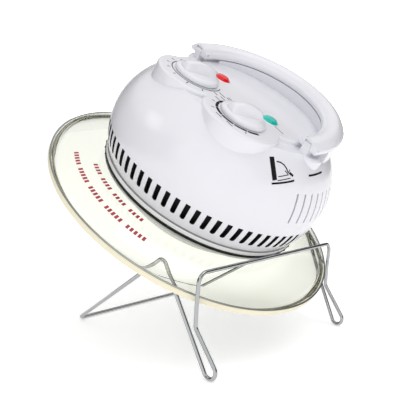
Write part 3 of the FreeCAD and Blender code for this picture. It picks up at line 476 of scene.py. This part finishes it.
dome_print_and_shadow("tip_sign", black_ink_and_shadow, [
    (run((-31.6, 118.6), (-27.4, 104.2)), 4.8),
    (run((-28.6, 101.2), (-15.8, 107.4)), 1.7),
    (run((-25.8, 104.6), (-18.4, 108.6)), 0.8),
    (run((-25.9, 107.4), (-19.8, 110.6)), 0.8),
    ([(-28.2, 116.8), (-25.6, 117.0), (-23.2, 116.0), (-21.4, 114.2), (-20.4, 112.0)], 1.2),
    ([(-22.4, 112.6), (-20.4, 111.0), (-19.2, 114.0)], 0.9),
    (run((-19.4, 112.0), (-16.8, 110.4)), 2.2),
])
# A black strip by the right pivot is painted shadow for the gap between the handle end and the
# dome.
dome_print_and_shadow("handle_gap_painted_shadow", black_ink_and_shadow, [(run((-4.6, 111.9), (9.5, 113.4)), 1.9)])

# ---- The two knobs.  White moulded dials with a soft raised grip across each, pushed on
# the flats of their shafts.
knob_bearing = math.radians(72)


def knob(name, x, node, body):
    shape = turned([(0.0, 0.0), (22.4, 0.0), (23.0, 0.6), (23.0, 2.6), (22.3, 3.8), (20.6, 4.5),
                    (17.0, 5.0), (10.0, 5.3), (0.0, 5.4)], 64, closed=False)
    grip = bmesh.new()
    bmesh.ops.create_cube(grip, size=1)
    bmesh.ops.scale(grip, vec=(0.038, 0.0125, 0.0105), verts=grip.verts)
    bmesh.ops.subdivide_edges(grip, edges=[e for e in grip.edges
                                           if abs(e.verts[0].co.x - e.verts[1].co.x) > 0.01],
                              cuts=6)
    bmesh.ops.translate(grip, verts=grip.verts, vec=(0, 0, 0.00875))
    for corner in grip.verts:
        along = corner.co.x / 0.019
        if corner.co.z > 0.009:
            corner.co.y *= 0.56
            corner.co.x *= 0.86
            corner.co.z -= 0.0030 * along * along
        else:
            corner.co.y *= 1.25
    bmesh.ops.bevel(grip, geom=[e for e in grip.edges if e.calc_face_angle(0) > 0.7],
                    offset=0.0021, affect="EDGES", segments=4, profile=0.5, material=-1)
    bmesh.ops.rotate(grip, verts=grip.verts, cent=(0, 0, 0),
                     matrix=Matrix.Rotation(knob_bearing, 3, "Z"))
    grip_mesh = bpy.data.meshes.new("grip")
    grip.to_mesh(grip_mesh)
    grip.free()
    shape.from_mesh(grip_mesh)
    bmesh.ops.translate(shape, verts=shape.verts, vec=(x / 1000, knob_y / 1000, panel_top + 0.0004))
    piece = settle(name, shape, white_moulding, body)
    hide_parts(node)


knob("timer_dial_knob", -knob_x, "timer_knob", "timer_dial")
knob("thermostat_dial_knob", knob_x, "thermostat_knob", "thermostat_dial")

# ---- The handle.  A white hollow bow that folds down round the back of the panel on two
# steel pins; a white nylon strip closes its underside.
dress(white_moulding, "handle_bow")
white_nylon = finish("white_nylon", (0.72, 0.72, 0.70), 0.45, grain=800)
dress(white_nylon, "handle_underside", "timer_body", "thermostat_body", "lamp_end_caps",
      "terminal_block", "thermal_fuse", "cooling_fan")

# ---- The works.  Zinc-plated sheet, an aluminium shield and fan, a bright reflector, a
# copper-wound motor and a ring lamp, all bolted up inside the cover.
zinc_sheet = finish("zinc_sheet", (0.55, 0.56, 0.57), 0.38, metallic=1.0, grain=500,
                    spread=0.08)
dress(zinc_sheet, "clamp_ring", "clamp_spacers", "chassis_plate", "shield_posts",
      "motor_brackets", "motor_pillars")
plated_steel = finish("plated_steel", (0.62, 0.61, 0.58), 0.25, metallic=1.0, grain=900)
dress(plated_steel, "clamp_screws", "lamp_clips", "handle_screws", "hinge_pins",
      "timer_shaft", "thermostat_shaft", "motor_shaft")
spun_aluminium = finish("spun_aluminium", (0.78, 0.79, 0.80), 0.32, metallic=1.0, grain=600)
dress(spun_aluminium, "heat_shield", "convection_fan")
bright_reflector = finish("bright_reflector", (0.95, 0.95, 0.93), 0.42, grain=400,
                          spread=0.02)
dress(bright_reflector, "reflector")
guard_wire = finish("guard_wire", (0.80, 0.80, 0.80), 0.2, metallic=1.0, grain=900)
dress(guard_wire, "heater_guard")
lamp_tube = finish("lamp_tube", (0.93, 0.92, 0.88), 0.08, grain=300, spread=0.02)
lamp_tube.node_tree.nodes["Principled BSDF"].inputs["Transmission Weight"].default_value = 0.8
dress(lamp_tube, "halogen_lamp", "neon_lamps")
lamination_steel = finish("lamination_steel", (0.14, 0.14, 0.15), 0.5, metallic=0.7,
                          grain=1500, spread=0.2, relief=0.5)
dress(lamination_steel, "motor_stator", "motor_rotor")
copper_winding = finish("copper_winding", (0.45, 0.17, 0.07), 0.4, metallic=0.8, grain=2000,
                        spread=0.2, relief=0.6)
dress(copper_winding, "motor_coil")
sintered_bronze = finish("sintered_bronze", (0.50, 0.36, 0.16), 0.5, metallic=0.9, grain=1600,
                         spread=0.1)
dress(sintered_bronze, "motor_bearings")
